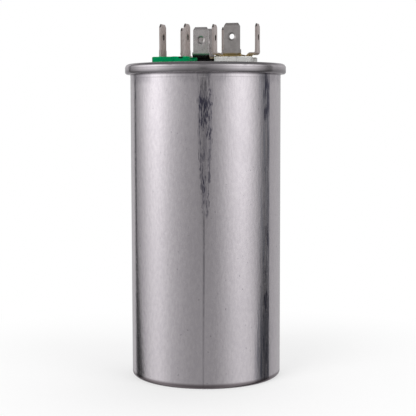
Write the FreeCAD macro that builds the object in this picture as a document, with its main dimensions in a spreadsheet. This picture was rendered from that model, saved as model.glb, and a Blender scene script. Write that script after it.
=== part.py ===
import FreeCAD, Part
import os
import re
import Sketcher

# Round motor run capacitor with three terminal groups in a seamed aluminium can.
# Millimetres, +Z up, origin at the centre of the can's base, front towards -Y.

SIZES = {
    "can_height": (125.0, "base to the top of the rolled rim"),
    "can_radius": (30.0, "outside of the drawn can"),
    "can_wall": (0.5, "drawn side wall"),
    "can_floor": (0.8, "drawn base"),
    "can_corner": (1.5, "outside radius between wall and base"),
    "can_inner_corner": (1.0, "inside radius between wall and base"),
    "cover_sheet": (0.5, "sheet of the pressed cover"),
    "seam_gap": (0.2, "sealing compound between the layers of the seam"),
    "seam_height": (4.1, "rolled rim, top to bottom"),
    "hook_clearance": (0.1, "end of each hook to the bend beyond it"),
    "mark_drop": (1.8, "rim's lower edge down to the ring that the seaming tool pressed"),
    "mark_width": (0.8, "that ring"),
    "mark_depth": (0.035, "that ring"),
    "panel_recess": (3.0, "rim top down to the cover's flat panel"),
    "panel_bend": (0.5, "inside bend at the panel's edge"),
    "countersink_depth": (2.2, "panel down to the bottom of the ring groove"),
    "countersink_width": (1.8, "ring groove inside the rim"),
    "compound_reach": (2.0, "sealing compound below the seam's roll centre"),
    "terminal_share": (0.4617, "can axis to each terminal group, as a share of the can's radius"),
    "base_width": (15.0, "square plastic terminal base"),
    "base_corner": (2.0, "upright corners of the base"),
    "base_edge": (0.3, "top edge of the base"),
    "base_rise": (2.5, "base top above the rim"),
    "flute_width": (4.4, "shallow upright flute in each side of the base"),
    "flute_depth": (0.5, "depth of that flute"),
    "channel_clearance": (0.2, "strip to the side of its channel"),
    "spigot_radius": (4.3, "sleeve under the base, through the cover"),
    "spigot_clearance": (0.2, "sleeve to the holes round it"),
    "spigot_reach": (1.2, "sleeve below the cover"),
    "gasket_thickness": (1.0, "rubber washer under the base"),
    "gasket_radius": (6.8, "outside of that washer"),
    "washer_radius": (6.5, "insulating washer inside the can"),
    "washer_thickness": (2.0, "same washer"),
    "rivet_radius": (1.9, "shank"),
    "rivet_clearance": (0.1, "shank to the holes round it"),
    "rivet_head_radius": (3.0, "domed head on the strips"),
    "rivet_head_height": (0.4, "same head"),
    "rivet_tail_radius": (3.0, "clenched end under the lug"),
    "rivet_tail_height": (1.0, "same end"),
    "lug_radius": (4.5, "ring of the solder lug"),
    "lug_thickness": (0.8, "same lug"),
    "lug_tail_width": (3.4, "its tail"),
    "lug_tail_reach": (8.0, "rivet to the end of the tail"),
    "tab_width": (6.35, "quarter-inch quick-connect tab"),
    "tab_thickness": (0.8, "strip of the tabs"),
    "tab_height": (12.9, "tab tip above the base"),
    "tab_chamfer_width": (0.75, "cut corners at the tip"),
    "tab_chamfer_height": (1.25, "same corners"),
    "tab_bevel_depth": (0.22, "thinned tip, each side"),
    "tab_bevel_height": (1.0, "same tip"),
    "tab_hole_radius": (1.05, "latch hole"),
    "tab_hole_drop": (5.2, "tip down to the latch hole"),
    "shoulder_width": (7.15, "strip below the tab's shoulders"),
    "shoulder_height": (2.7, "shoulders above the base"),
    "bend_radius": (1.2, "outside of the bend between web and tab"),
    "wide_bend_radius": (2.4, "the same bend on the common narrow strip"),
    "narrow_spread": (5.0, "rivet to the tabs of a narrow strip"),
    "wide_spread": (8.6, "rivet to the tabs of a wide strip"),
    "single_spread": (6.5, "rivet to the tab of the single-tab strip"),
    "short_web": (4.4, "rivet to the plain end of the same strip"),
    "joggle_start": (4.3, "rivet to where a wide strip begins to rise"),
    "joggle_run": (2.0, "length of that rise"),
    "joggle_rise": (1.7, "height of that rise"),
    "core_bore": (4.0, "bore of the winding core"),
    "core_radius": (6.0, "outside of the winding core"),
    "inner_radius": (13.0, "fan section of the roll"),
    "divider_sheet": (0.6, "film that parts the two sections"),
    "roll_clearance": (0.6, "roll's wrap to the skirts of the plastic cups"),
    "wrap_sheet": (0.6, "plastic wrap round the roll"),
    "head_room": (18.2, "sprayed metal up to the cover's panel"),
    "contact_layer": (0.8, "sprayed metal on the roll's ends"),
    "contact_margin": (0.5, "sprayed metal back from the divider and the edge"),
    "divider_rise": (1.0, "divider and core above the sprayed metal"),
    "lead_space": (3.4, "room for the common lead under the roll"),
    "cup_clearance": (0.3, "plastic cups to the can"),
    "cup_floor": (2.0, "floor of either plastic cup"),
    "cup_skirt": (1.0, "skirt of either plastic cup"),
    "cup_skirt_height": (12.0, "lower cup, from its floor to its brim"),
    "cup_overlap": (5.0, "upper cup's skirt down past the end of the roll"),
    "support_inset": (2.0, "edge of the roll to the ring that carries its end"),
    "support_width": (2.5, "same ring"),
    "retainer_gap": (3.2, "sprayed metal up to the upper cup's disc"),
    "lead_radius": (0.8, "connecting wires"),
    "lead_bend": (2.5, "centre line of their bends"),
    "lead_turn": (1.2, "tight bends of the common lead under the roll"),
    "lead_drop": (0.8, "straight stretch below each lug"),
    "lead_start": (6.0, "rivet to where the wire meets the lug"),
    "lead_hole_clearance": (0.7, "wires to the holes in the upper cup"),
    "lead_landing": (3.5, "inner edge of a section to where its lead ends"),
    "cut_over": (1.0, "spare depth of a cut beyond the metal"),
}

# Angles in degrees.
ANGLES = {
    "common_azimuth": (93.3, "common terminal about the can's axis, from +X"),
    "fan_azimuth": (210.0, "fan terminal, the same way"),
    "compressor_azimuth": (330.0, "compressor terminal, the same way"),
    "common_twist": (-12.0, "common terminal about its own rivet"),
    "fan_twist": (-16.0, "fan terminal, the same way"),
    "compressor_twist": (-13.0, "compressor terminal, the same way"),
    "single_twist": (-15.0, "single-tab strip about the compressor rivet"),
    "lead_slope": (60.0, "lean of a lead's slanting stretch from upright"),
}

# Lengths that follow from the sizes above, each written once.
DERIVED = {
    "terminal_circle": "can_radius * terminal_share",
    "chuck_outer": "can_radius - can_wall - seam_gap",
    "chuck_inner": "chuck_outer - cover_sheet",
    "cover_hook_inner": "can_radius + seam_gap",
    "cover_hook_outer": "cover_hook_inner + cover_sheet",
    "can_hook_inner": "cover_hook_outer + seam_gap",
    "can_hook_outer": "can_hook_inner + can_wall",
    "rim_inner": "can_hook_outer + seam_gap",
    "rim_outer": "rim_inner + cover_sheet",
    "roll_centre": "(chuck_inner + rim_outer) / 2",
    "roll_height": "can_height - (rim_outer - chuck_inner) / 2",
    "curl_centre": "(rim_outer + cover_hook_inner) / 2",
    "curl_height": "can_height - seam_height + (rim_outer - cover_hook_inner) / 2",
    "mark_height": "can_height - seam_height - mark_drop",
    "mark_bend": "can_radius + mark_width^2 / (8 * mark_depth) - mark_depth / 2",
    "panel_top": "can_height - panel_recess",
    "panel_under": "panel_top - cover_sheet",
    "groove_outer": "chuck_inner",
    "groove_inner": "chuck_inner - countersink_width",
    "groove_centre": "(groove_outer + groove_inner) / 2",
    "groove_height": "panel_top - countersink_depth + countersink_width / 2",
    "groove_under": "groove_height - countersink_width / 2 - cover_sheet",
    "panel_edge": "groove_inner - cover_sheet - panel_bend",
    "base_bottom": "panel_top + gasket_thickness",
    "base_top": "can_height + base_rise",
    "channel_floor": "base_top - tab_thickness",
    "channel_half": "shoulder_width / 2 + channel_clearance",
    "spigot_bottom": "panel_under - spigot_reach",
    "spigot_hole": "spigot_radius + spigot_clearance",
    "rivet_hole": "rivet_radius + rivet_clearance",
    "washer_under": "panel_under - washer_thickness",
    "lug_under": "washer_under - lug_thickness",
    "tail_under": "lug_under - rivet_tail_height",
    "tab_top": "base_top + tab_height",
    "cup_outer": "can_radius - can_wall - cup_clearance",
    "cup_inner": "cup_outer - cup_skirt",
    "outer_radius": "cup_inner - roll_clearance - wrap_sheet",
    "support_radius": "outer_radius - support_inset",
    "lower_floor": "can_floor + cup_floor",
    "roll_contact": "lower_floor + lead_space",
    "roll_bottom": "roll_contact + contact_layer",
    "contact_top": "panel_top - head_room",
    "roll_top": "contact_top - contact_layer",
    "core_top": "contact_top + divider_rise",
    "divider_outer": "inner_radius + divider_sheet",
    "compressor_landing": "divider_outer + lead_landing",
    "common_landing": "core_radius + lead_landing",
    "retainer_under": "contact_top + retainer_gap",
    "retainer_top": "retainer_under + cup_floor",
    "lead_level": "lower_floor + lead_space / 2",
    "lead_hole": "lead_radius + lead_hole_clearance",
}

# Each terminal group, with the strips that lie on its base over the one in the channel.
STRIPS_ABOVE_CHANNEL = {"common": 1, "fan": 0, "compressor": 1}

BASE_SIDES = 4
EDGE_TOLERANCE = 1e-6

document = FreeCAD.newDocument("RunCapacitor")
sheet = document.addObject("Spreadsheet::Sheet", "Sizes")
for row, (alias, (size, note)) in enumerate({**SIZES, **ANGLES}.items(), start=1):
    sheet.set(f"A{row}", alias)
    sheet.set(f"B{row}", str(size))
    sheet.set(f"C{row}", note)
    sheet.setAlias(f"B{row}", alias)
document.recompute()


def bound(text):
    """Write a formula of size names as an expression on the sheet."""
    def spell(match):
        word = match.group(0)
        if word in DERIVED:
            return f"({bound(DERIVED[word])})"
        return f"Sizes.{word}" if word in SIZES or word in ANGLES else word
    return re.sub(r"[a-z][a-z_]*", spell, text)


def number(text):
    """Value that a formula of size names has now."""
    return float(sheet.evalExpression(bound(text)))


def point(x, y):
    return FreeCAD.Vector(number(x), number(y), 0)


def new_body(name):
    body = document.addObject("PartDesign::Body", name)
    body.Label = name
    return body


def origin_feature(body, role):
    return next(item for item in body.Origin.OriginFeatures if item.Role == role)


def new_sketch(body, name, plane, offset="0"):
    """Sketch on one of the body's own planes, moved along its normal."""
    sketch = body.newObject("Sketcher::SketchObject", name)
    sketch.AttachmentSupport = [(origin_feature(body, plane), "")]
    sketch.MapMode = "FlatFace"
    if offset != "0":
        sketch.setExpression(".AttachmentOffset.Base.z", bound(offset))
    return sketch


def pin_coordinate(sketch, kind, piece, end, text):
    """Hold one coordinate of a sketch point at a formula."""
    axis = {"DistanceX": -2, "DistanceY": -1}[kind]
    if text == "0":
        sketch.addConstraint(Sketcher.Constraint("PointOnObject", piece, end, axis))
        return
    index = sketch.addConstraint(Sketcher.Constraint(kind, piece, end, number(text)))
    sketch.setExpression(f"Constraints[{index}]", bound(text))


def add_arc(sketch, here, there, centre, turn):
    """Arc from here to there; turn is 1 for anticlockwise and -1 for clockwise."""
    first, last = (here, there) if turn > 0 else (there, here)
    circle = Part.Circle(centre, FreeCAD.Vector(0, 0, 1), (here - centre).Length)
    arc = Part.ArcOfCircle(circle, circle.parameter(first), circle.parameter(last))
    return sketch.addGeometry(arc, False)


def outline(sketch, start, *moves, closed=True):
    """Draw joined sides from start; a move is (x, y) or (x, y, centre x, centre y, turn)."""
    moves = list(moves)
    if closed:
        moves.append(start)
    corners = [start] + [move[:2] for move in moves]
    sides = []
    for move, before, after in zip(moves, corners, corners[1:]):
        here, there = point(*before), point(*after)
        if len(move) == 2:
            side = sketch.addGeometry(Part.LineSegment(here, there), False)
            sides.append((side, 1, 2))
            continue
        centre = point(*move[2:4])
        side = add_arc(sketch, here, there, centre, move[4])
        sides.append((side, 1, 2) if move[4] > 0 else (side, 2, 1))
    for (side, _, end), (following, begin, _) in zip(sides, sides[1:]):
        sketch.addConstraint(Sketcher.Constraint("Coincident", side, end, following, begin))
    if closed:
        (first, begin, _), (last, _, end) = sides[0], sides[-1]
        sketch.addConstraint(Sketcher.Constraint("Coincident", last, end, first, begin))
    for (side, begin, _), (x, y) in zip(sides, corners):
        pin_coordinate(sketch, "DistanceX", side, begin, x)
        pin_coordinate(sketch, "DistanceY", side, begin, y)
    if not closed:
        last, _, end = sides[-1]
        pin_coordinate(sketch, "DistanceX", last, end, corners[-1][0])
        pin_coordinate(sketch, "DistanceY", last, end, corners[-1][1])
    for (side, _, _), move, before, after in zip(sides, moves, corners, corners[1:]):
        if len(move) == 5:
            chord = point(*after) - point(*before)
            if abs(chord.x) < abs(chord.y):
                pin_coordinate(sketch, "DistanceX", side, 3, move[2])
            else:
                pin_coordinate(sketch, "DistanceY", side, 3, move[3])


def ring(sketch, x, y, radius):
    """Circle held at a place and a radius."""
    circle = Part.Circle(point(x, y), FreeCAD.Vector(0, 0, 1), number(radius))
    side = sketch.addGeometry(circle, False)
    index = sketch.addConstraint(Sketcher.Constraint("Radius", side, number(radius)))
    sketch.setExpression(f"Constraints[{index}]", bound(radius))
    pin_coordinate(sketch, "DistanceX", side, 3, x)
    pin_coordinate(sketch, "DistanceY", side, 3, y)


def revolve(body, *profile):
    """Turn a profile of radius and height about the upright axis."""
    sketch = new_sketch(body, "Profile", "XZ_Plane")
    outline(sketch, *profile)
    turned = body.newObject("PartDesign::Revolution", "Turned")
    turned.Profile = sketch
    turned.ReferenceAxis = (sketch, ["V_Axis"])
    turned.Angle = 360
    return turned


def pad(body, sketch, length, both_ways=False):
    feature = body.newObject("PartDesign::Pad", "Pad")
    feature.Profile = sketch
    feature.setExpression("Length", bound(length))
    feature.SideType = "Symmetric" if both_ways else "One side"
    return feature


def cut(body, sketch, length):
    """Pocket that runs the same way on both sides of its sketch."""
    feature = body.newObject("PartDesign::Pocket", "Cut")
    feature.Profile = sketch
    feature.setExpression("Length", bound(length))
    feature.SideType = "Symmetric"
    return feature


def repeat(body, feature, copies):
    """Repeat a cut evenly about the upright axis."""
    pattern = body.newObject("PartDesign::PolarPattern", "Pattern")
    pattern.Originals = [feature]
    pattern.Axis = (origin_feature(body, "Z_Axis"), [""])
    pattern.Angle = 360
    pattern.Occurrences = copies
    body.Tip = pattern
    return pattern


def tube(name, bore, radius, low, high):
    """Plain ring between two radii and two heights."""
    body = new_body(name)
    revolve(body, (bore, low), (radius, low), (radius, high), (bore, high))
    return body


def at_azimuth(group, reach):
    """Place at a reach from the can's axis in the direction of a terminal."""
    return f"{reach} * cos({group}_azimuth)", f"{reach} * sin({group}_azimuth)"


def seat(body, group, turn="0"):
    """Stand a piece on its terminal's rivet axis and turn it."""
    x, y = at_azimuth(group, "terminal_circle")
    body.setExpression(".Placement.Base.x", bound(x))
    body.setExpression(".Placement.Base.y", bound(y))
    body.Placement.Rotation = FreeCAD.Rotation(FreeCAD.Vector(0, 0, 1), 1)
    body.setExpression(".Placement.Rotation.Angle", bound(turn))


def inward(group):
    """Turn that points a piece's +X at the can's axis."""
    return f"{group}_azimuth - 180"


def make_can():
    """Drawn can whose brim is rolled outwards and down as the body hook of the seam."""
    body = new_body("can")
    revolve(
        body,
        ("0", "0"),
        ("can_radius - can_corner", "0"),
        ("can_radius", "can_corner", "can_radius - can_corner", "can_corner", 1),
        ("can_radius", "mark_height - mark_width / 2"),
        ("can_radius", "mark_height + mark_width / 2", "mark_bend", "mark_height", -1),
        ("can_radius", "roll_height"),
        ("can_hook_inner", "roll_height", "roll_centre", "roll_height", -1),
        ("can_hook_inner", "curl_height + hook_clearance"),
        ("can_hook_outer", "curl_height + hook_clearance"),
        ("can_hook_outer", "roll_height"),
        ("can_radius - can_wall", "roll_height", "roll_centre", "roll_height", 1),
        ("can_radius - can_wall", "can_floor + can_inner_corner"),
        (
            "can_radius - can_wall - can_inner_corner",
            "can_floor",
            "can_radius - can_wall - can_inner_corner",
            "can_floor + can_inner_corner",
            -1,
        ),
        ("0", "can_floor"),
    )
    return body


def make_cover():
    """Pressed cover: flat panel, ring groove, chuck wall and the rolled seam round the can's hook."""
    body = new_body("cover")
    revolve(
        body,
        ("0", "panel_top"),
        ("0", "panel_under"),
        ("panel_edge", "panel_under"),
        (
            "groove_inner - cover_sheet",
            "panel_under - panel_bend",
            "panel_edge",
            "panel_under - panel_bend",
            -1,
        ),
        ("groove_inner - cover_sheet", "groove_height"),
        ("chuck_outer", "groove_height", "groove_centre", "groove_height", 1),
        ("chuck_outer", "roll_height"),
        ("rim_inner", "roll_height", "roll_centre", "roll_height", -1),
        ("rim_inner", "curl_height"),
        ("cover_hook_outer", "curl_height", "curl_centre", "curl_height", -1),
        ("cover_hook_outer", "roll_height - hook_clearance"),
        ("cover_hook_inner", "roll_height - hook_clearance"),
        ("cover_hook_inner", "curl_height"),
        ("rim_outer", "curl_height", "curl_centre", "curl_height", 1),
        ("rim_outer", "roll_height"),
        ("groove_outer", "roll_height", "roll_centre", "roll_height", 1),
        ("groove_outer", "groove_height"),
        ("groove_inner", "groove_height", "groove_centre", "groove_height", -1),
        ("groove_inner", "panel_under - panel_bend"),
        ("panel_edge", "panel_top", "panel_edge", "panel_under - panel_bend", 1),
    )
    holes = new_sketch(body, "TerminalHoles", "XY_Plane", "panel_top")
    for group in STRIPS_ABOVE_CHANNEL:
        ring(holes, *at_azimuth(group, "terminal_circle"), "spigot_hole")
    cut(body, holes, "2 * (cover_sheet + cut_over)")
    return body


def make_seam_compound():
    """Sealing compound between the can's brim and the cover's seam."""
    body = new_body("seam_compound")
    revolve(
        body,
        ("chuck_outer", "roll_height - compound_reach"),
        ("can_radius - can_wall", "roll_height - compound_reach"),
        ("can_radius - can_wall", "roll_height"),
        ("can_hook_outer", "roll_height", "roll_centre", "roll_height", -1),
        ("can_hook_outer", "curl_height + hook_clearance"),
        ("rim_inner", "curl_height + hook_clearance"),
        ("rim_inner", "roll_height"),
        ("chuck_outer", "roll_height", "roll_centre", "roll_height", 1),
    )
    return body


def round_edges(body, size, wanted):
    """Fillet the edges of the body's present form that the test picks out."""
    document.recompute()
    tip = body.Tip
    names = [f"Edge{place}" for place, edge in enumerate(tip.Shape.Edges, start=1) if wanted(edge)]
    fillet = body.newObject("PartDesign::Fillet", "Fillet")
    fillet.Base = (tip, names)
    fillet.setExpression("Radius", bound(size))
    return fillet


def is_upright(edge):
    box = edge.BoundBox
    return box.XLength < EDGE_TOLERANCE and box.YLength < EDGE_TOLERANCE


def is_level_at(height):
    """Test for edges that lie flat at a height."""
    level = number(height)

    def test(edge):
        box = edge.BoundBox
        return abs(box.ZMin - level) < EDGE_TOLERANCE and abs(box.ZMax - level) < EDGE_TOLERANCE
    return test


def make_terminal_base(group):
    """Moulded block with a channel for the strip, side flutes and a sleeve through the cover."""
    body = new_body(f"{group}_terminal_base")
    half = "base_width / 2"
    plan = new_sketch(body, "Plan", "XY_Plane", "base_bottom")
    outline(plan, (f"-{half}", f"-{half}"), (half, f"-{half}"), (half, half), (f"-{half}", half))
    pad(body, plan, "base_top - base_bottom")
    round_edges(body, "base_corner", is_upright)
    round_edges(body, "base_edge", is_level_at("base_top"))

    channel = new_sketch(body, "Channel", "YZ_Plane")
    outline(
        channel,
        ("-channel_half", "channel_floor"),
        ("channel_half", "channel_floor"),
        ("channel_half", "base_top + cut_over"),
        ("-channel_half", "base_top + cut_over"),
    )
    cut(body, channel, "base_width + 2 * cut_over")

    flute = new_sketch(body, "Flute", "XY_Plane", "base_bottom")
    outline(
        flute,
        ("-flute_width / 2", f"-{half} - cut_over"),
        ("flute_width / 2", f"-{half} - cut_over"),
        ("flute_width / 2", f"-{half}"),
        ("flute_width / 2 - flute_depth", f"flute_depth - {half}"),
        ("flute_depth - flute_width / 2", f"flute_depth - {half}"),
        ("-flute_width / 2", f"-{half}"),
    )
    fluted = cut(body, flute, "2 * (base_top - base_bottom + cut_over)")
    repeat(body, fluted, BASE_SIDES)

    spigot = new_sketch(body, "Spigot", "XY_Plane", "spigot_bottom")
    ring(spigot, "0", "0", "spigot_radius")
    pad(body, spigot, "base_bottom - spigot_bottom")

    bore = new_sketch(body, "RivetHole", "XY_Plane", "base_bottom")
    ring(bore, "0", "0", "rivet_hole")
    cut(body, bore, "2 * (base_top - spigot_bottom)")
    seat(body, group, f"{group}_twist")
    return body


def make_gasket(group):
    """Rubber washer between the base and the cover."""
    body = tube(f"{group}_gasket", "spigot_hole", "gasket_radius", "panel_top", "base_bottom")
    seat(body, group)
    return body


def make_inner_washer(group):
    """Insulating washer inside the can, counterbored for the base's sleeve."""
    body = new_body(f"{group}_inner_washer")
    revolve(
        body,
        ("rivet_hole", "washer_under"),
        ("washer_radius", "washer_under"),
        ("washer_radius", "panel_under"),
        ("spigot_hole", "panel_under"),
        ("spigot_hole", "spigot_bottom"),
        ("rivet_hole", "spigot_bottom"),
    )
    seat(body, group)
    return body


def make_solder_lug(group):
    """Ring lug clenched under the washer, with a round-ended tail towards the can's axis."""
    body = new_body(f"{group}_solder_lug")
    plan = new_sketch(body, "Plan", "XY_Plane", "lug_under")
    half = "lug_tail_width / 2"
    neck = "sqrt(lug_radius^2 - lug_tail_width^2 / 4)"
    outline(
        plan,
        (neck, f"-{half}"),
        (f"lug_tail_reach - {half}", f"-{half}"),
        (f"lug_tail_reach - {half}", half, f"lug_tail_reach - {half}", "0", 1),
        (neck, half),
        (neck, f"-{half}", "0", "0", 1),
        closed=False,
    )
    ring(plan, "0", "0", "rivet_hole")
    pad(body, plan, "lug_thickness")
    seat(body, group, inward(group))
    return body


def make_rivet(group):
    """Rivet from a domed head on the strips to its clenched end under the lug."""
    body = new_body(f"{group}_rivet")
    strips = STRIPS_ABOVE_CHANNEL[group]
    head_under = f"(base_top + {strips} * tab_thickness)"
    head_top = f"({head_under} + rivet_head_height)"
    dome = "(rivet_head_radius^2 + rivet_head_height^2) / (2 * rivet_head_height)"
    revolve(
        body,
        ("0", "tail_under"),
        ("rivet_tail_radius", "tail_under"),
        ("rivet_tail_radius", "lug_under"),
        ("rivet_radius", "lug_under"),
        ("rivet_radius", head_under),
        ("rivet_head_radius", head_under),
        ("0", head_top, "0", f"{head_top} - {dome}", 1),
    )
    seat(body, group)
    return body


def strip_section(under, spread, end, rise, bend):
    """Half of a bent strip seen from its edge: web, optional joggle, bend and bevelled tab."""
    outer = f"({spread} + tab_thickness / 2)"
    inner = f"({spread} - tab_thickness / 2)"
    foot = f"({under} + {rise})"
    bend_x, bend_z = f"{outer} - {bend}", f"{foot} + {bend}"
    lower, upper = [], []
    if rise != "0":
        mitre = "tab_thickness * (sqrt(joggle_run^2 + joggle_rise^2) - joggle_run) / joggle_rise"
        lower = [("joggle_start", under), ("joggle_start + joggle_run", foot)]
        upper = [
            (f"joggle_start + joggle_run - {mitre}", f"{foot} + tab_thickness"),
            (f"joggle_start - {mitre}", f"{under} + tab_thickness"),
        ]
    return [
        (end, under),
        *lower,
        (bend_x, foot),
        (outer, bend_z, bend_x, bend_z, 1),
        (outer, "tab_top - tab_bevel_height"),
        (f"{outer} - tab_bevel_depth", "tab_top"),
        (f"{inner} + tab_bevel_depth", "tab_top"),
        (inner, "tab_top - tab_bevel_height"),
        (inner, bend_z),
        (bend_x, f"{foot} + tab_thickness", bend_x, bend_z, -1),
        *upper,
        (end, f"{under} + tab_thickness"),
    ]


def make_strip(name, group, under, spread, turn, rise="0", tabs=2, bend="bend_radius"):
    """Stamped terminal strip bent up into one or two quick-connect tabs."""
    body = new_body(name)
    end = "0" if tabs == 2 else "-short_web"
    section = new_sketch(body, "Section", "XZ_Plane")
    outline(section, *strip_section(under, spread, end, rise, bend))
    bent = pad(body, section, "shoulder_width", both_ways=True)
    if tabs == 2:
        mirror = body.newObject("PartDesign::Mirrored", "OtherTab")
        mirror.Originals = [bent]
        mirror.MirrorPlane = (origin_feature(body, "YZ_Plane"), [""])
        body.Tip = mirror

    blank = new_sketch(body, "TabSides", "YZ_Plane")
    for side in (1, -1):
        edge = f"{side} * tab_width / 2"
        beyond = f"{side} * (shoulder_width / 2 + cut_over)"
        corner = f"{side} * (tab_width / 2 - tab_chamfer_width)"
        outline(
            blank,
            (edge, "base_top + shoulder_height"),
            (beyond, "base_top + shoulder_height"),
            (beyond, "tab_top + cut_over"),
            (corner, "tab_top + cut_over"),
            (corner, "tab_top"),
            (edge, "tab_top - tab_chamfer_height"),
        )
    ring(blank, "0", "tab_top - tab_hole_drop", "tab_hole_radius")
    cut(body, blank, f"2 * ({spread} + tab_thickness + cut_over)")

    hole = new_sketch(body, "RivetHole", "XY_Plane", under)
    ring(hole, "0", "0", "rivet_hole")
    cut(body, hole, "2 * (tab_thickness + cut_over)")
    seat(body, group, turn)
    return body


def make_roll():
    """Film roll in two sections on one core, with its divider, wrap and sprayed ends."""
    margin = "contact_margin"
    return [
        tube("winding_core", "core_bore", "core_radius", "roll_bottom", "core_top"),
        tube("fan_winding", "core_radius", "inner_radius", "roll_bottom", "roll_top"),
        tube("winding_divider", "inner_radius", "divider_outer", "roll_bottom", "core_top"),
        tube("compressor_winding", "divider_outer", "outer_radius", "roll_bottom", "roll_top"),
        tube("winding_wrap", "outer_radius", "outer_radius + wrap_sheet", "roll_contact", "contact_top"),
        tube("common_contact", "core_radius", f"outer_radius - {margin}", "roll_contact", "roll_bottom"),
        tube(
            "fan_contact", f"core_radius + {margin}", f"inner_radius - {margin}", "roll_top", "contact_top"
        ),
        tube(
            "compressor_contact",
            f"divider_outer + {margin}",
            f"outer_radius - {margin}",
            "roll_top",
            "contact_top",
        ),
    ]


def make_lower_cup():
    """Plastic cup under the roll, with a ring that leaves room for the common lead."""
    body = new_body("lower_cup")
    revolve(
        body,
        ("0", "can_floor"),
        ("cup_outer - can_inner_corner", "can_floor"),
        ("cup_outer", "can_floor + can_inner_corner"),
        ("cup_outer", "lower_floor + cup_skirt_height"),
        ("cup_inner", "lower_floor + cup_skirt_height"),
        ("cup_inner", "lower_floor"),
        ("support_radius", "lower_floor"),
        ("support_radius", "roll_contact"),
        ("support_radius - support_width", "roll_contact"),
        ("support_radius - support_width", "lower_floor"),
        ("0", "lower_floor"),
    )
    return body


def make_upper_cup():
    """Plastic cup that holds the roll down from the cover's ring groove, with lead holes."""
    body = new_body("upper_cup")
    brim = "groove_under - cup_clearance"
    revolve(
        body,
        ("0", "retainer_under"),
        ("support_radius - support_width", "retainer_under"),
        ("support_radius - support_width", "contact_top"),
        ("support_radius", "contact_top"),
        ("support_radius", "retainer_under"),
        ("cup_inner", "retainer_under"),
        ("cup_inner", "contact_top - cup_overlap"),
        ("cup_outer", "contact_top - cup_overlap"),
        ("cup_outer", brim),
        ("cup_inner", brim),
        ("cup_inner", "retainer_top"),
        ("0", "retainer_top"),
    )
    holes = new_sketch(body, "LeadHoles", "XY_Plane", "retainer_top")
    ring(holes, "0", "0", "lead_hole")
    for group, reach in (
        ("fan", "(terminal_circle - lead_start)"),
        ("compressor", "compressor_landing"),
    ):
        ring(holes, *at_azimuth(group, reach), "lead_hole")
    cut(body, holes, "2 * (cup_floor + cut_over)")
    return body


def swan_neck(end_x, side):
    """Path from a lug down through two bends to an upright line at end_x; side is 1 or -1."""
    lean = "lead_bend * (1 - cos(lead_slope))"
    drop = "lead_bend * sin(lead_slope)"
    first_x, first_z = "lead_start", "lug_under - lead_drop"
    across = f"({side} * ({end_x} - {first_x}) - 2 * {lean})"
    last_z = f"({first_z} - 2 * {drop} - {across} / tan(lead_slope))"
    return [
        (first_x, "lug_under"),
        (first_x, first_z),
        (
            f"{first_x} + {side} * {lean}",
            f"{first_z} - {drop}",
            f"{first_x} + {side} * lead_bend",
            first_z,
            side,
        ),
        (f"{end_x} - {side} * {lean}", f"{last_z} + {drop}"),
        (end_x, last_z, f"{end_x} - {side} * lead_bend", last_z, -side),
    ]


def make_lead(group, route):
    """Connecting wire swept along its route from the lug to the sprayed metal."""
    body = new_body(f"{group}_lead")
    path = new_sketch(body, "Route", "XZ_Plane")
    outline(path, *route, closed=False)
    section = new_sketch(body, "Wire", "XY_Plane", "lug_under")
    ring(section, "lead_start", "0", "lead_radius")
    wire = body.newObject("PartDesign::AdditivePipe", "Sweep")
    wire.Profile = section
    wire.Spine = (path, [])
    seat(body, group, inward(group))
    return body


def make_leads():
    """Three wires: straight to the fan section, aside to the compressor section, down the core."""
    fan_route = [("lead_start", "lug_under"), ("lead_start", "contact_top")]
    landing = "(terminal_circle - compressor_landing)"
    compressor_route = swan_neck(landing, -1) + [(landing, "contact_top")]
    axis = "terminal_circle"
    far = "(terminal_circle + common_landing)"
    low = "(lead_level + lead_turn)"
    common_route = swan_neck(axis, 1) + [
        (axis, low),
        (f"{axis} + lead_turn", "lead_level", f"{axis} + lead_turn", low, 1),
        (f"{far} - lead_turn", "lead_level"),
        (far, low, f"{far} - lead_turn", low, 1),
        (far, "roll_contact"),
    ]
    return [
        make_lead("fan", fan_route),
        make_lead("compressor", compressor_route),
        make_lead("common", common_route),
    ]


def make_terminals():
    """Everything that each rivet holds, outside and inside the cover."""
    pieces = []
    for group in STRIPS_ABOVE_CHANNEL:
        for make in (make_terminal_base, make_gasket, make_inner_washer, make_solder_lug, make_rivet):
            pieces.append(make(group))
    pieces.append(make_strip("fan_tab_strip", "fan", "channel_floor", "narrow_spread", "fan_twist"))
    for group in ("compressor", "common"):
        name, turn = f"{group}_wide_tab_strip", f"{group}_twist"
        pieces.append(make_strip(name, group, "channel_floor", "wide_spread", turn, rise="joggle_rise"))
    name, turn = "compressor_single_tab_strip", "single_twist - 90"
    pieces.append(make_strip(name, "compressor", "base_top", "single_spread", turn, tabs=1))
    name, turn = "common_narrow_tab_strip", "common_twist + 90"
    pieces.append(make_strip(name, "common", "base_top", "narrow_spread", turn, bend="wide_bend_radius"))
    return pieces


def check(pieces):
    """Stop if a feature failed, a cut removed nothing or a piece is not one valid solid."""
    for item in document.Objects:
        if {"Invalid", "Error"} & set(item.State):
            raise RuntimeError(f"{item.Name} failed: {item.State}")
        if item.TypeId == "PartDesign::Pocket" and item.BaseFeature.Shape.Volume <= item.Shape.Volume:
            raise RuntimeError(f"{item.Name} cuts nothing")
    for body in pieces:
        if body.Shape.isNull() or not body.Shape.isValid() or len(body.Shape.Solids) != 1:
            raise RuntimeError(f"{body.Label} is not one valid solid")


def main():
    pieces = [make_can(), make_cover(), make_seam_compound(), make_lower_cup(), make_upper_cup()]
    pieces += make_roll() + make_leads() + make_terminals()
    document.recompute()
    check(pieces)
    os.makedirs("parts", exist_ok=True)
    for body in pieces:
        body.Shape.exportStep(f"parts/{body.Label}.step")
    print(f"{len(pieces)} pieces written")


main()
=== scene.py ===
import math

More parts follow.
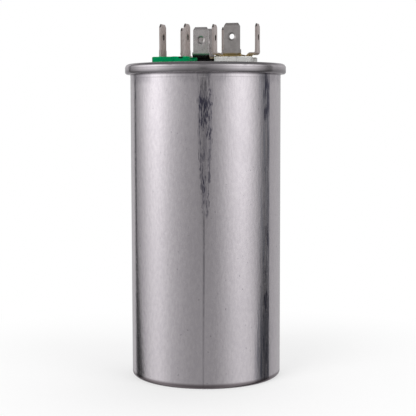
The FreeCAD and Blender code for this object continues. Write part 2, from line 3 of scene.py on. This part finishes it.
import bpy
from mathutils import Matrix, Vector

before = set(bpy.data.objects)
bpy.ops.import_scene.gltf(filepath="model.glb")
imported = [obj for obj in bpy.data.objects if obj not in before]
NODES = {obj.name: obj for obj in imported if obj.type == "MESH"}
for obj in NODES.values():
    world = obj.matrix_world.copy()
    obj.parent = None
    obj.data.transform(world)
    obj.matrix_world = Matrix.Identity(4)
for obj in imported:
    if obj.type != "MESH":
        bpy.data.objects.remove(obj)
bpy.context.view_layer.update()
MM = 0.001

# Azimuths are radians from the front, positive to the right; heights are metres above the base
FRONT_AZIMUTH = -0.004
FRONT_FOOT = 0.0655
SIDE_EDGE = 0.966
LEFT_FLAG_REFLECTION = (-1.158, -1.135)
FOOT_SHADOW_REFLECTION = (0.0014, 0.0026)
UNDER_RIM_SHADOW = (0.1201, 0.1208)
BEAD_RADIUS = (0.0312, 0.0315)
TAB_BEND = (0.1268, 0.1285)
TAB_TIP = (0.138, 0.1388)

# Latch holes of the tabs: height, radius and places in millimetres
LATCH_HEIGHT = 135.2
LATCH_RADIUS = 1.05
LATCH_HOLES = (
    (-7.19, -8.3),
    (-16.8, -5.55),
    (20.37, -8.86),
    (3.61, -4.99),
    (10.31, -13.2),
    (7.61, 12.04),
    (-9.21, 15.61),
    (-1.84, 8.94),
    (0.24, 18.72),
)


class Graph:
    """Short way to lay out shader nodes in one tree."""

    def __init__(self, tree):
        self.tree = tree
        tree.nodes.clear()

    def node(self, kind, sockets=None, **settings):
        made = self.tree.nodes.new("ShaderNode" + kind)
        for name, setting in settings.items():
            setattr(made, name, setting)
        for name, value in (sockets or {}).items():
            socket = made.inputs[name]
            if isinstance(value, bpy.types.NodeSocket):
                self.tree.links.new(value, socket)
            else:
                socket.default_value = value
        return made

    def math(self, operation, first, second=0.0):
        return self.node("Math", {0: first, 1: second}, operation=operation).outputs[0]

    def total(self, first, second):
        return self.math("ADD", first, second)

    def difference(self, first, second):
        return self.math("SUBTRACT", first, second)

    def product(self, first, *others):
        for other in others:
            first = self.math("MULTIPLY", first, other)
        return first

    def opposite(self, value):
        return self.difference(1.0, value)

    def rise(self, value, low, high, start=0.0, end=1.0):
        """Smooth step from start to end while the value goes from low to high."""
        sockets = {"Value": value, "From Min": low, "From Max": high, "To Min": start, "To Max": end}
        return self.node("MapRange", sockets, interpolation_type="SMOOTHSTEP").outputs[0]

    def window(self, value, low, high, soft_low, soft_high):
        """One between low and high, falling to nothing over a soft edge outside each."""
        up = self.rise(value, low - soft_low, low)
        down = self.rise(value, high, high + soft_high)
        return self.product(up, self.opposite(down))

    def mix(self, factor, first, second):
        made = self.node("Mix", data_type="RGBA")
        for index, value in ((0, factor), (6, first), (7, second)):
            socket = made.inputs[index]
            if isinstance(value, bpy.types.NodeSocket):
                self.tree.links.new(value, socket)
            else:
                socket.default_value = value
        return made.outputs[2]

    def place(self):
        """Position on the object and its three parts, in metres."""
        position = self.node("TexCoord").outputs["Object"]
        parts = self.node("SeparateXYZ", {0: position}).outputs
        return position, parts[0], parts[1], parts[2]

    def radius(self, x, y):
        return self.math("SQRT", self.total(self.product(x, x), self.product(y, y)))

    def azimuth(self, x, y):
        """Angle round the upright axis: zero at the front, positive to the right."""
        return self.math("ARCTAN2", x, self.product(y, -1.0))

    def stretched(self, position, across, along, shift=0.0):
        """Position with one scale across the can and another up it."""
        sockets = {"Vector": position, "Location": (shift, shift, shift), "Scale": (across, across, along)}
        return self.node("Mapping", sockets).outputs[0]

    def noise(self, vector, scale=1.0, detail=2.0, roughness=0.5):
        sockets = {"Vector": vector, "Scale": scale, "Detail": detail, "Roughness": roughness}
        return self.node("TexNoise", sockets).outputs[0]

    def bump(self, height, distance, strength=1.0, normal=None):
        sockets = {"Height": height, "Distance": distance, "Strength": strength}
        if normal is not None:
            sockets["Normal"] = normal
        return self.node("Bump", sockets).outputs[0]

    def finish(self, shader):
        self.node("OutputMaterial", {"Surface": shader})

    def surface(self, tone, rough, normal, metallic=0.0, gloss=0.5):
        sockets = {"Base Color": tone, "Roughness": rough, "Normal": normal}
        sockets.update({"Metallic": metallic, "Specular IOR Level": gloss})
        self.finish(self.node("BsdfPrincipled", sockets).outputs[0])


def colour(red, green, blue):
    return (red, green, blue, 1.0)


def new_graph(name):
    material = bpy.data.materials.new(name)
    material.use_nodes = True
    return material, Graph(material.node_tree)


def assign(material, *names):
    for name in names:
        mesh = NODES[name].data
        mesh.materials.clear()
        mesh.materials.append(material)


def front_cluster(g, tone, azimuth, z, draw, fibres):
    """Cluster of upright marks in front, narrower further down, partly scratches and partly painted
    reflection of the dark viewer; returns tone and density.
    """
    half_width = g.rise(z, 0.06, 0.105, 0.026, 0.088)
    off_centre = g.math("ABSOLUTE", g.difference(azimuth, FRONT_AZIMUTH))
    ragged = g.total(half_width, g.rise(draw, 0.3, 0.7, -0.014, 0.014))
    depth = g.difference(ragged, off_centre)
    front = g.rise(depth, -0.01, 0.022)
    strength = g.product(g.rise(z, 0.092, 0.104, 0.62, 0.93), g.rise(z, 0.11, 0.118, 1.0, 0.2))
    density = g.product(front, strength, g.rise(z, FRONT_FOOT, 0.069))
    ground = g.rise(fibres, 0.38, 0.6, 0.04, 0.56)
    # Partly scratches, partly painted reflection of the dark viewer in front
    tone = g.mix(g.product(density, ground), tone, colour(0.33, 0.32, 0.4))

    # Darker margin and top of the cluster: the same scratches and painted reflection
    margin = g.window(depth, -0.004, 0.012, 0.006, 0.012)
    margin = g.product(margin, g.rise(z, FRONT_FOOT, 0.068), g.rise(z, 0.1, 0.085, 0.3, 0.8))
    margin = g.product(margin, g.rise(fibres, 0.42, 0.56, 0.25, 1.0))
    tone = g.mix(margin, tone, colour(0.2, 0.19, 0.25))
    upper = g.product(front, g.rise(z, 0.11, 0.116), g.rise(fibres, 0.5, 0.6, 0.0, 0.6))
    tone = g.mix(upper, tone, colour(0.25, 0.24, 0.27))
    return tone, density


def side_density(g, azimuth, z):
    """How thick the dark strokes lie along the right side."""
    middle = g.rise(z, 0.1, 0.035, 0.42, 0.72)
    height = g.math("MAXIMUM", g.rise(z, 0.096, 0.106), middle)
    height = g.product(height, g.rise(z, 0.112, 0.122, 1.0, 0.75))
    return g.product(g.window(azimuth, 0.86, SIDE_EDGE, 0.07, 0.01), height)


def dark_strokes(g, position, azimuth, z, strokes, density):
    """Short dark strokes where the density is high, drawn out low down and at the side."""
    clumps = g.noise(g.stretched(position, 420, 150, 4.3), detail=1)
    threads = g.noise(g.stretched(position, 1700, 130, 8.2), detail=3, roughness=0.6)
    low, side = g.rise(z, 0.102, 0.09, 0.0, 0.4), g.rise(azimuth, 0.5, 0.7, 0.0, 0.75)
    drawn_out = g.math("MAXIMUM", low, side)
    field = g.total(g.product(strokes, g.opposite(drawn_out)), g.product(threads, drawn_out))
    threshold = g.total(field, g.product(g.difference(density, 1.0), 0.3))
    threshold = g.total(threshold, g.rise(clumps, 0.3, 0.7, -0.07, 0.07))
    return g.product(g.rise(threshold, 0.41, 0.56), g.rise(density, 0.0, 0.3), 0.85)


def side_marks(g, tone, azimuth, z, lines):
    """Long low marks on the right side, partly scuffs and partly painted reflection of the dim gap, and
    the thin dark line that ends them, a painted reflection of the gap's edge.
    """
    # Low marks, partly scuffs and partly painted reflection of the dim gap
    low_scuffs_and_reflection = g.product(g.window(azimuth, 0.78, SIDE_EDGE - 0.002, 0.14, 0.01), g.rise(z, 0.04, 0.006))
    low_scuffs_and_reflection = g.product(low_scuffs_and_reflection, g.rise(lines, 0.38, 0.6, 0.2, 0.9))
    tone = g.mix(low_scuffs_and_reflection, tone, colour(0.26, 0.27, 0.34))
    # Painted reflection of the dim gap's edge: a thin dark line at the end of the side marks, broken into
    # lines
    edge = g.product(g.window(azimuth, 0.928, SIDE_EDGE, 0.03, 0.008), g.rise(z, 0.106, 0.094, 0.45, 0.8))
    edge = g.product(edge, g.rise(lines, 0.38, 0.6, 0.5, 1.0))
    return g.mix(edge, tone, colour(0.24, 0.24, 0.28))


def centre_line(g, azimuth, z, draw):
    """Single line from the foot of the front cluster to the base, swaying a little at the end."""
    sway = g.rise(z, 0.0, 0.06, -0.012, 0.0)
    line = g.window(g.difference(azimuth, sway), -0.024, -0.016, 0.022, 0.006)
    height = g.product(g.rise(z, 0.064, 0.07, 1.0, 0.0), g.rise(z, 0.01, 0.045, 0.5, 1.0))
    return g.product(line, height, g.rise(draw, 0.3, 0.6, 0.3, 0.65))


def can_aluminium():
    """Bare drawn aluminium: fine mottle; scratches in front and scuffs and dark strokes at the right,
    partly painted reflection of the dark viewer and the dim gap; painted reflection of the dark flag at
    the left and of the shaded floor at the foot; painted shadow under the rim.
    """
    material, g = new_graph("drawn_aluminium")
    position, x, y, z = g.place()
    azimuth = g.azimuth(x, y)
    grain = g.noise(g.stretched(position, 2000, 1300), detail=2)
    draw = g.noise(g.stretched(position, 900, 420, 3.1), detail=3)
    cloud = g.noise(g.stretched(position, 90, 45, 7.7), detail=4, roughness=0.6)
    strokes = g.noise(g.stretched(position, 2200, 400, 1.7), detail=3, roughness=0.6)
    fibres = g.noise(g.stretched(position, 1900, 170, 9.3), detail=3, roughness=0.65)
    lines = g.noise(g.stretched(position, 1200, 50, 6.6), detail=3, roughness=0.7)
    specks = g.noise(g.stretched(position, 1100, 700, 5.5), detail=1)

    tone = g.mix(g.rise(draw, 0.35, 0.65), colour(0.845, 0.805, 0.84), colour(0.9, 0.86, 0.89))
    tone = g.mix(g.rise(grain, 0.3, 0.7, 0.12, 0.0), tone, colour(0.55, 0.52, 0.56))
    tone = g.mix(g.rise(cloud, 0.5, 0.8, 0.0, 0.22), tone, colour(0.62, 0.59, 0.63))
    tone, front = front_cluster(g, tone, azimuth, z, draw, fibres)
    density = g.math("MAXIMUM", front, side_density(g, azimuth, z))
    # Bluish tint on the right side, partly scuffs and partly painted reflection of the dim gap
    side_scuff_and_reflection_tint = g.product(
        g.window(azimuth, 0.84, SIDE_EDGE - 0.002, 0.16, 0.01), g.rise(lines, 0.4, 0.6, 0.0, 0.85)
    )
    tone = g.mix(side_scuff_and_reflection_tint, tone, colour(0.6, 0.61, 0.68))
    # Dark strokes, partly scratches and partly painted reflection of the dark viewer in front and the dim
    # gap at the right
    stroke_and_reflection_marks = dark_strokes(g, position, azimuth, z, strokes, density)
    tone = g.mix(stroke_and_reflection_marks, tone, colour(0.07, 0.07, 0.14))
    tone = side_marks(g, tone, azimuth, z, lines)
    tone = g.mix(centre_line(g, azimuth, z, draw), tone, colour(0.2, 0.19, 0.22))

    # Painted reflection of the dark flag: a dark line down the left side, broken by strokes
    left = g.product(g.window(azimuth, *LEFT_FLAG_REFLECTION, 0.02, 0.02), g.rise(z, 0.03, 0.085, 0.25, 0.75))
    tone = g.mix(g.product(left, g.rise(strokes, 0.35, 0.6)), tone, colour(0.16, 0.155, 0.2))
    shoulder = g.product(g.window(z, 0.1187, 0.1215, 0.0025, 0.001), g.rise(cloud, 0.4, 0.65, 0.0, 0.4))
    tone = g.mix(shoulder, tone, colour(0.4, 0.38, 0.42))
    # Painted reflection of the shaded floor: the foot darkens towards the base
    tone = g.mix(g.rise(z, FOOT_SHADOW_REFLECTION[1], FOOT_SHADOW_REFLECTION[0], 0.0, 0.8), tone, colour(0.17, 0.135, 0.145))
    # Painted shadow: a thin dark line on the wall just under the rim
    tone = g.mix(g.rise(z, *UNDER_RIM_SHADOW, 0.0, 0.7), tone, colour(0.1, 0.09, 0.1))
    tone = g.mix(g.rise(specks, 0.74, 0.8, 0.0, 0.5), tone, colour(0.3, 0.28, 0.33))

    rough = g.total(g.rise(grain, 0.3, 0.7, 0.13, 0.19), g.rise(cloud, 0.4, 0.8, 0.0, 0.06))
    normal = g.bump(draw, 0.0001, 0.3)
    normal = g.bump(strokes, 0.00006, 0.3, normal)
    g.surface(tone, rough, normal, metallic=1.0)
    return material


def cover_aluminium():
    """Bare pressed aluminium; the seam's outer face is leaned to shade as a bead, and painted shade
    darkens it below.
    """
    material, g = new_graph("pressed_aluminium")
    position, x, y, z = g.place()
    cloud = g.noise(g.stretched(position, 160, 160, 2.3), detail=4, roughness=0.6)
    grain = g.noise(g.stretched(position, 1500, 1500), detail=2)
    tone = g.mix(g.rise(cloud, 0.4, 0.75, 0.0, 0.5), colour(0.90, 0.86, 0.89), colour(0.72, 0.68, 0.72))
    rough = g.total(g.rise(cloud, 0.35, 0.75, 0.14, 0.2), g.product(grain, 0.04))
    outside = g.rise(g.radius(x, y), *BEAD_RADIUS)
    # Painted shade: the bead's outer face darkens in colour, more towards its lower edge
    bead_unshaded_share = g.product(g.rise(z, 0.1236, 0.1231, 1.0, 0.78), g.rise(z, 0.1232, 0.1217, 1.0, 0.52))
    tone = g.mix(g.product(g.opposite(bead_unshaded_share), outside), tone, colour(0.04, 0.035, 0.04))
    lean = g.product(g.window(z, 0.1233, 0.1239, 0.0006, 0.0004), outside, -0.12)
    upright = g.node("CombineXYZ", {2: lean}).outputs[0]
    bent = g.node("VectorMath", {0: g.node("NewGeometry").outputs["Normal"], 1: upright}, operation="ADD")
    bead = g.node("VectorMath", {0: bent.outputs[0]}, operation="NORMALIZE").outputs[0]
    normal = g.bump(cloud, 0.0001, 0.12, bead)
    g.surface(tone, rough, normal, metallic=1.0)
    return material


def tinned_brass(name, light, dark, low_rough=0.34, high_rough=0.46):
    """Dull tin plate: fine grain, pressed edges round the latch holes with painted shade in and above
    them, painted shade on the tips' upward faces, brass showing at bends.
    """
    material, g = new_graph(name)
    position, x, _, z = g.place()
    grain = g.noise(g.stretched(position, 2400, 700), detail=3)
    cloud = g.noise(g.stretched(position, 500, 500, 4.2), detail=3, roughness=0.6)
    tone = g.mix(g.rise(cloud, 0.35, 0.7), light, dark)
    bend = g.product(g.window(z, *TAB_BEND, 0.0004, 0.0006), g.rise(x, 0.0, 0.002))
    tone = g.mix(g.product(bend, g.rise(cloud, 0.3, 0.6, 0.5, 0.9)), tone, colour(0.55, 0.4, 0.14))

    # Distance to the nearest latch hole's middle
    reach = 1.0
    for hole_x, hole_y in LATCH_HOLES:
        centre = (hole_x * MM, hole_y * MM, LATCH_HEIGHT * MM)
        apart = g.node("VectorMath", {0: position, 1: centre}, operation="DISTANCE").outputs["Value"]
        reach = g.math("MINIMUM", reach, apart)
    # Painted shade inside the latch holes and over the upper side of their pressed edges
    inside = g.rise(reach, 0.00121, 0.00113)
    upper_edge_shade = g.product(g.rise(reach, 0.0015, 0.0012), g.rise(z, 0.1351, 0.1356))
    shade = g.math("MAXIMUM", g.product(inside, 0.75), g.product(upper_edge_shade, 0.5))
    tone = g.mix(shade, tone, colour(0.1, 0.08, 0.07))
    # Painted shade on the upward faces of the tab tips
    upward = g.node("SeparateXYZ", {0: g.node("NewGeometry").outputs["Normal"]}).outputs[2]
    tip_shade = g.product(g.rise(upward, 0.2, 0.6), g.rise(z, *TAB_TIP))
    tone = g.mix(g.product(tip_shade, 0.6), tone, colour(0.15, 0.14, 0.14))
    rough = g.rise(grain, 0.3, 0.7, low_rough, high_rough)
    normal = g.bump(g.rise(reach, LATCH_RADIUS * MM, 0.0018), 0.0003, 0.8)
    normal = g.bump(grain, 0.00003, 0.4, normal)
    g.surface(tone, rough, normal, metallic=1.0)
    return material


def satin_metal(name, light, dark, scale, low_rough, high_rough):
    """Plain metal whose tone and gloss vary in soft patches."""
    material, g = new_graph(name)
    position = g.place()[0]
    cloud = g.noise(position, scale, detail=4, roughness=0.6)
    tone = g.mix(g.rise(cloud, 0.35, 0.7), light, dark)
    rough = g.rise(cloud, 0.3, 0.7, low_rough, high_rough)
    normal = g.bump(cloud, 0.00005, 0.3)
    g.surface(tone, rough, normal, metallic=1.0)
    return material


def moulded(name, light, dark, scale=600, low_rough=0.32, high_rough=0.45, gloss=0.5, notch_shade=0.0):
    """Moulded or cut plastic with a faint uneven skin; the last argument is the strength of a painted
    shade of one small notch in the top edge, which is not modelled.
    """
    material, g = new_graph(name)
    position, x, y, z = g.place()
    cloud = g.noise(position, scale, detail=4, roughness=0.6)
    skin = g.noise(position, scale * 6, detail=2)
    tone = g.mix(g.rise(cloud, 0.3, 0.7), light, dark)
    if notch_shade:
        # Painted shade of one small notch in the top edge, which is not modelled
        across = g.window(x, -0.0102, -0.0088, 0.0003, 0.0003)
        notch_shade_mask = g.product(across, g.window(z, 0.1269, 0.128, 0.0003, 0.0003), g.rise(y, -0.005, -0.009))
        tone = g.mix(g.product(notch_shade_mask, notch_shade), tone, colour(0.005, 0.02, 0.01))
    rough = g.rise(cloud, 0.3, 0.7, low_rough, high_rough)
    normal = g.bump(skin, 0.000006, 0.5)
    g.surface(tone, rough, normal, gloss=gloss)
    return material


def wound_film(name, light, dark, metallic):
    """Turns of film as fine rings with faint clouds."""
    material, g = new_graph(name)
    position, x, y, _ = g.place()
    outward = g.node("CombineXYZ", {0: g.radius(x, y)}).outputs[0]
    turns = g.noise(outward, 9000, detail=1)
    cloud = g.noise(position, 160, detail=3)
    blend = g.total(g.product(turns, 0.6), g.product(cloud, 0.4))
    tone = g.mix(g.rise(blend, 0.35, 0.65), light, dark)
    rough = g.rise(cloud, 0.3, 0.7, 0.22, 0.36)
    normal = g.bump(turns, 0.00004, 0.4)
    g.surface(tone, rough, normal, metallic)
    return material


def dress():
    """Give every solid of the part its material."""
    groups = ("fan", "compressor", "common")

    def each(kind):
        return [f"{group}_{kind}" for group in groups]

    assign(can_aluminium(), "can")
    assign(cover_aluminium(), "cover")
    sides = tinned_brass("tin_plate_sides", colour(0.92, 0.83, 0.79), colour(0.8, 0.7, 0.65))
    wide = ("fan_tab_strip", "compressor_wide_tab_strip", "common_wide_tab_strip")
    assign(sides, *wide, *each("solder_lug"))
    # Painted shade: a darker copy of the tin plate for the single tab
    front = tinned_brass("tin_plate_painted_darker", colour(0.72, 0.69, 0.67), colour(0.6, 0.57, 0.55))
    assign(front, "compressor_single_tab_strip")
    # Painted light: a lighter, glossier copy of the tin plate for the narrow strip
    lighter_tin_plate = tinned_brass("tin_plate_painted_lighter", colour(0.95, 0.92, 0.91), colour(0.82, 0.79, 0.78), 0.26, 0.36)
    assign(lighter_tin_plate, "common_narrow_tab_strip")
    rivet = satin_metal("rivet_metal", colour(0.6, 0.57, 0.54), colour(0.45, 0.42, 0.4), 900, 0.26, 0.4)
    assign(rivet, *each("rivet"))
    spray = satin_metal("sprayed_zinc", colour(0.42, 0.43, 0.44), colour(0.28, 0.28, 0.29), 2600, 0.6, 0.8)
    assign(spray, *each("contact"))
    green = colour(0.0, 0.29, 0.1), colour(0.0, 0.25, 0.085)
    assign(moulded("green_plastic", *green, gloss=0.04, notch_shade=0.95), "fan_terminal_base")
    white = colour(0.65, 0.65, 0.63), colour(0.6, 0.6, 0.58)
    assign(moulded("white_plastic", *white), "compressor_terminal_base")
    black = colour(0.003, 0.003, 0.003), colour(0.002, 0.002, 0.002)
    assign(moulded("black_plastic", *black, gloss=0.12), "common_terminal_base")
    rubber = moulded("gasket_rubber", colour(0.03, 0.03, 0.03), colour(0.02, 0.02, 0.02), 900, 0.7, 0.85)
    assign(rubber, *each("gasket"))
    grey = colour(0.12, 0.12, 0.13), colour(0.08, 0.08, 0.09)
    compound = moulded("sealing_compound", *grey, 900, 0.6, 0.8)
    assign(compound, "seam_compound")
    washer = moulded("washer_plastic", colour(0.3, 0.16, 0.08), colour(0.22, 0.11, 0.05), 500, 0.5, 0.65)
    assign(washer, *each("inner_washer"))
    cup = moulded("cup_plastic", colour(0.78, 0.78, 0.74), colour(0.7, 0.7, 0.66), 120, 0.35, 0.5)
    assign(cup, "lower_cup", "upper_cup", "winding_core")
    film = wound_film("metallised_film", colour(0.62, 0.63, 0.66), colour(0.45, 0.46, 0.49), 1.0)
    assign(film, "fan_winding", "compressor_winding")
    wrap = wound_film("wrap_film", colour(0.78, 0.74, 0.6), colour(0.68, 0.63, 0.48), 0.0)
    assign(wrap, "winding_divider", "winding_wrap")
    wire = moulded("lead_insulation", colour(0.45, 0.03, 0.02), colour(0.35, 0.02, 0.015), 300, 0.4, 0.5)
    assign(wire, *each("lead"))


def studio():
    """World with two soft boxes, a dark flag at the left, a dim gap at the right and pale walls."""
    left_level, left_edge_level, right_level = 0.54, 0.24, 0.64
    room_level, viewer_shade, dim_level, ceiling_level = 0.285, 0.52, 0.03, 0.12
    wall_level, wall_left_share, wall_right_share, wall_rear_share = 0.40, 1.1, 0.9, 0.12
    world = bpy.data.worlds.new("studio")
    bpy.context.scene.world = world
    world.use_nodes = True
    g = Graph(world.node_tree)
    x, y, z = g.node("SeparateXYZ", {0: g.node("TexCoord").outputs["Generated"]}).outputs
    turn = g.product(g.azimuth(x, y), 180 / math.pi)
    low = g.rise(z, -0.1, -0.22)

    left = g.total(g.rise(turn, -15, -85, 0.0, left_level), g.rise(turn, -50, -80, 0.0, left_edge_level))
    left_fade = g.product(g.rise(z, -0.25, 0.03, 0.6, 1.0), g.rise(z, -0.07, 0.0, 0.78, 1.0))
    left = g.product(left, g.rise(turn, -133, -80), left_fade)
    right_outer = g.difference(turn, g.product(low, 7.0))
    right_fade = g.product(g.rise(z, -0.12, -0.03, 0.62, 1.0), g.rise(z, -0.25, -0.1, 0.75, 1.0))
    right = g.product(g.rise(turn, 8, 56), g.opposite(g.rise(right_outer, 56, 98)))
    right = g.product(right, right_fade, right_level)
    boxes = g.total(left, right)

    # The room ends in the dim gap at the right, and the viewer shades it in front
    wall_turn = g.difference(turn, g.rise(z, -0.05, 0.0, 0.0, -1.5))
    wall_turn = g.difference(wall_turn, g.product(low, 2.5))
    gap_turn = g.total(turn, g.product(low, 9.0))
    gap = g.product(g.rise(gap_turn, 86, 103), g.rise(z, -0.2, -0.05, 0.88, 0.5))
    gap = g.product(g.opposite(gap), g.opposite(g.rise(wall_turn, 109, 113)))
    room = g.product(g.rise(turn, -150, -130), gap, room_level)
    viewer = g.product(g.window(turn, -5, 0.5, 8, 7), g.rise(z, -0.13, -0.04), viewer_shade)
    room = g.product(room, g.opposite(viewer), g.rise(z, -0.06, 0.0, 0.91, 1.0))

    # The flag grows wider below the level view, up to a limit
    depth = g.math("MAXIMUM", g.difference(g.product(z, -1.0), 0.05), 0.0)
    spread = g.math("MINIMUM", g.product(depth, depth, 640.0), 28.0)
    flag_turn = g.difference(turn, g.product(spread, g.rise(z, -0.4, -0.3)))
    flag = g.product(g.rise(turn, -141, -138), g.opposite(g.rise(flag_turn, -136, -132.5)))
    inside = g.product(g.total(boxes, room), g.opposite(flag))

    wall_left = g.product(g.opposite(g.rise(turn, -143, -138)), wall_left_share)
    wall_right = g.rise(wall_turn, 109, 113, 0.0, wall_right_share)
    wall_right = g.total(wall_right, g.rise(turn, 116, 150, 0.0, wall_rear_share))
    wall = g.product(g.total(wall_left, wall_right), wall_level)
    level = g.total(g.total(inside, wall), dim_level)
    ceiling = g.rise(z, 0.15, 0.7)
    level = g.total(g.product(level, g.opposite(ceiling)), g.product(ceiling, ceiling_level))
    level = g.product(level, g.rise(z, -0.85, -0.25, 0.8, 1.0))

    seen = g.node("LightPath").outputs["Is Camera Ray"]
    soft = g.node("Background", {"Color": colour(1.0, 0.985, 1.0), "Strength": level}).outputs[0]
    white = g.node("Background", {"Color": colour(1.0, 1.0, 1.0), "Strength": 1.0}).outputs[0]
    shown = g.node("MixShader", {0: seen, 1: soft, 2: white}).outputs[0]
    g.node("OutputWorld", {"Surface": shown})


def lamp(name, place, size, watts):
    """Large soft area lamp that lights plastic and floor, aimed at the can's upper half."""
    data = bpy.data.lights.new(name, "AREA")
    data.shape = "DISK"
    data.size = size
    data.energy = watts
    item = bpy.data.objects.new(name, data)
    bpy.context.scene.collection.objects.link(item)
    item.location = place
    direction = item.location - Vector((0, 0, 0.08))
    item.rotation_euler = direction.to_track_quat("Z", "Y").to_euler()
    item.visible_glossy = False


def make_floor():
    """Pale round floor that shows white and keeps the object's soft shadow."""
    size, corners = 6.0, 64
    mesh = bpy.data.meshes.new("floor")
    angles = [2 * math.pi * corner / corners for corner in range(corners)]
    edge = [(size * math.cos(angle), size * math.sin(angle), 0.0) for angle in angles]
    mesh.from_pydata(edge, [], [list(range(corners))])
    floor = bpy.data.objects.new("floor", mesh)
    bpy.context.scene.collection.objects.link(floor)
    material, g = new_graph("floor_paper")
    rays = g.node("LightPath").outputs
    position, x, y, _ = g.place()
    grain = g.noise(position, 800, detail=2)
    tone = g.mix(grain, colour(0.86, 0.86, 0.86), colour(0.9, 0.9, 0.9))
    paper = g.node("BsdfDiffuse", {"Color": tone}).outputs[0]
    glow = g.node("Emission", {"Color": colour(1.0, 1.0, 1.0), "Strength": 1.0}).outputs[0]
    glowing = g.rise(g.radius(x, y), 0.035, 0.16, 0.6, 1.0)
    seen = g.node("MixShader", {0: glowing, 1: paper, 2: glow}).outputs[0]
    clear = g.node("BsdfTransparent").outputs[0]
    other = g.node("MixShader", {0: rays["Is Glossy Ray"], 1: paper, 2: clear}).outputs[0]
    g.finish(g.node("MixShader", {0: rays["Is Camera Ray"], 1: other, 2: seen}).outputs[0])
    mesh.materials.append(material)


def aim_camera():
    """Camera at the photograph's place: level with the can's upper part, looking slightly down."""
    pitch, roll = 0.0888, 0.0024
    data = bpy.data.cameras.new("camera")
    data.sensor_width = 36.0
    data.lens = 96.9
    camera = bpy.data.objects.new("camera", data)
    bpy.context.scene.collection.objects.link(camera)
    camera.location = (0.00097, -0.4511, 0.1075)
    camera.rotation_mode = "XYZ"
    camera.rotation_euler = (math.pi / 2 - pitch, roll, 0.0)
    bpy.context.scene.camera = camera


dress()
studio()
make_floor()
lamp("key", (-0.55, -0.75, 0.75), 0.7, 7.0)
lamp("fill", (0.7, -0.6, 0.5), 0.7, 4.0)
lamp("top", (0.1, 0.3, 1.1), 0.8, 6.0)
aim_camera()
bpy.context.scene.view_settings.view_transform = "Standard"
